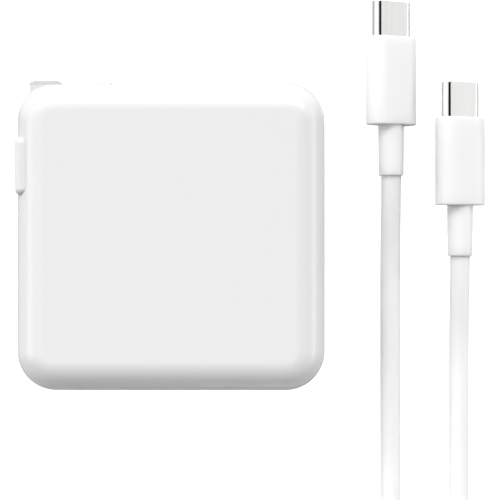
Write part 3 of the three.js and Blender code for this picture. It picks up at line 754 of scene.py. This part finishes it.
def connector(letter, tip):
    put = rolled(tip)
    turn = Matrix.Rotation(ROLL, 3, "Y")
    root = -NOSE_LENGTH
    tube = soft_bar(*NOSE_TUBE, root - MM, 0, 0.14 * MM, put, 20, 4)
    bore = soft_bar(*NOSE_BORE, root + 0.5 * MM, MM, SHARP, put, 20, 1)
    shell = combine(to_object(f"nose_{letter}", tube), [bore])
    soften_edges(shell, 0.06 * MM)
    lead_piece(shell, LOOKS["plated_steel"], f"connector_shell_{letter}")

    plain = soft_bar(*NOSE_INSERT, root + MM, -0.25 * MM, 0.1 * MM, put, 12, 3)
    slot = soft_bar(*INSERT_SLOT, root + 2 * MM, MM, SHARP, put, 3, 1)
    insert = combine(to_object(f"nose_insert_{letter}", plain), [slot])
    lead_piece(insert, LOOKS["insulator_dark"], f"connector_insert_{letter}")

    strips = contact_row(NOSE_STRIP, NOSE_PITCH, root + 2.2 * MM, -0.9 * MM, 0.03 * MM,
                         lambda across, side: at(put, turn @ Vector((-across, 0, side * 0.37 * MM))))
    lead_piece(to_object(f"nose_contacts_{letter}", strips), GOLD, None)

    mould = to_object(f"overmould_{letter}",
                      soft_bar(*MOULD, root - MOULD_SEEN, root, 0.22 * MM, put, 24, 6))
    lead_piece(mould, LOOKS["lead_white"], f"connector_overmould_{letter}")

    start = root - MOULD_LENGTH
    end = start - JOINT_GAP - RELIEF_LENGTH
    lip = 0.12 * MM
    profile = [(2.5 * MM, start + 0.6 * MM), (2.5 * MM, start - 2 * MM), (2.46 * MM, start - 5 * MM),
               (RELIEF_END_R, end + lip)]
    lip_steps = reversed(list(quarter_steps(lip, 6)))
    profile += [(RELIEF_END_R - pull, end + depth) for depth, pull in lip_steps][1:]
    profile += [(CORD_R - 0.1 * MM, end)]
    relief = to_object(f"relief_{letter}", turned(list(reversed(profile)), put, 64))
    lead_piece(relief, LOOKS["lead_white"], f"strain_relief_{letter}", 60)


def smooth_route(points, spacing):
    """Even points along a centripetal spline through the given ones."""
    fine = []
    padded = [2 * points[0] - points[1], *points, 2 * points[-1] - points[-2]]
    for p0, p1, p2, p3 in zip(padded, padded[1:], padded[2:], padded[3:]):
        t1 = (p1 - p0).length ** 0.5
        t2 = t1 + (p2 - p1).length ** 0.5
        t3 = t2 + (p3 - p2).length ** 0.5
        steps = max(2, int((p2 - p1).length / spacing))
        for step in range(steps):
            t = t1 + (t2 - t1) * step / steps
            a1 = p0 * ((t1 - t) / t1) + p1 * (t / t1)
            a2 = p1 * ((t2 - t) / (t2 - t1)) + p2 * ((t - t1) / (t2 - t1))
            a3 = p2 * ((t3 - t) / (t3 - t2)) + p3 * ((t - t2) / (t3 - t2))
            b1 = a1 * ((t2 - t) / t2) + a2 * (t / t2)
            b2 = a2 * ((t3 - t) / (t3 - t1)) + a3 * ((t - t1) / (t3 - t1))
            fine.append(b1 * ((t2 - t) / (t2 - t1)) + b2 * ((t - t1) / (t2 - t1)))
    fine.append(points[-1].copy())
    return fine


def ease(share):
    return share * share * (3 - 2 * share)


def coil_points():
    """Four layers of three turns, wound inwards and outwards by turns, from twelve o'clock on."""
    rings = []
    for layer in range(COIL_LAYERS):
        order = (1, 0, -1) if layer % 2 == 0 else (-1, 0, 1)
        rings += [(COIL_MIDDLE + step * CORD_D, CORD_LIES + layer * CORD_D) for step in order]
    points = []
    total = 360 * len(rings)
    for degree in range(90, total + 1, COIL_STEP):
        lap, past = divmod(degree - SHIFT_START, 360)
        share = min(1.0, past / SHIFT_WIDTH)
        old = rings[max(0, lap - 1)]
        new = rings[min(lap, len(rings) - 1)]
        weight = ease(share)
        radius = old[0] + (new[0] - old[0]) * weight
        height = old[1] + (new[1] - old[1]) * weight
        if old[0] == new[0] and old[1] != new[1]:
            outward = 1 if old[0] > COIL_MIDDLE else -1
            radius += outward * SHIFT_BULGE * math.sin(math.pi * share)
        from_tie = ((degree - 270 + 180) % 360) - 180
        height += (TIE_THICKNESS + 0.02 * MM) * math.exp(-((from_tie / TIE_REACH) ** 2))
        angle = math.radians(degree)
        points.append(COIL + Vector((radius * math.cos(angle), radius * math.sin(angle), height)))
    return points


def lead_cord():
    start_a = PLUG_A.y + CORD_START
    start_b = PLUG_B.y + CORD_START
    turn = PLUG_A.x - COIL.x
    centre = Vector((COIL.x, COIL.y + COIL_MIDDLE + CORD_D + turn))
    run_a = [(PLUG_A.x, start_a + TUCK, PLUG_Z), (PLUG_A.x, start_a, PLUG_Z)]
    run_a += [(PLUG_A.x, y * MM, z * MM) for y, z in A_FALLS]
    run_a += [(PLUG_A.x, y * MM, CORD_LIES) for y in A_LIES]
    for step in range(6):
        angle = math.radians(15 * step)
        run_a.append((centre.x + turn * math.cos(angle), centre.y - turn * math.sin(angle), CORD_LIES))
    run_b = [(PLUG_B.x, y * MM, z * MM) for y, z in B_LEAVES_COIL]
    run_b += [(PLUG_B.x, y * MM, CORD_LIES) for y in B_LIES]
    run_b += [(PLUG_B.x, y * MM, z * MM) for y, z in B_RISES]
    run_b += [(PLUG_B.x, start_b, PLUG_Z), (PLUG_B.x, start_b + TUCK, PLUG_Z)]
    points = [Vector(point) for point in run_a] + coil_points() + [Vector(point) for point in run_b]
    line = smooth_route(points, 1.5 * MM)
    curve = bpy.data.curves.new("lead_cord", "CURVE")
    curve.dimensions = "3D"
    curve.bevel_depth = CORD_R
    curve.bevel_resolution = 6
    curve.use_fill_caps = True
    spline = curve.splines.new("POLY")
    spline.points.add(len(line) - 1)
    for slot, point in zip(spline.points, line):
        slot.co = (*point, 1)
    spline.use_smooth = True
    curve.materials.append(LOOKS["lead_white"])
    cord = bpy.data.objects.new("lead_cord", curve)
    bpy.context.scene.collection.objects.link(cord)
    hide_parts("cord_run_a", "cord_run_b", "cord_coil")
    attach(cord, "charge_lead")


def cord_tie():
    """A strap round the bundle at six o'clock."""
    low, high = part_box("cord_tie")
    middle = (low + high) / 2
    width = high.y - low.y
    height = high.z - low.z + TIE_THICKNESS

    def put(a, b, c):
        return Vector((middle.x + c, middle.y + a, low.z + height / 2 + b))

    outer = soft_bar(width, height, 2.2 * MM, low.x - middle.x, high.x - middle.x, 0.15 * MM, put, 10, 3)
    strap = to_object("tie_strap", outer)
    inner = soft_bar(width - 2 * TIE_THICKNESS, height - 2 * TIE_THICKNESS, 1.7 * MM, -9 * MM, 9 * MM,
                     SHARP, put, 10, 1)
    combine(strap, [inner])
    lead_piece(strap, STRAP, "cord_tie")


# ---- assembly -----------------------------------------------------------------------------------

bpy.context.scene.view_settings.view_transform = "Standard"
camera()
studio_world()
floor()
dress_cad_nodes()
connector("a", PLUG_A)
connector("b", PLUG_B)
cord_tie()
lead_cord()
housing_shells()
port()
inlet()
plug_body()
prongs()
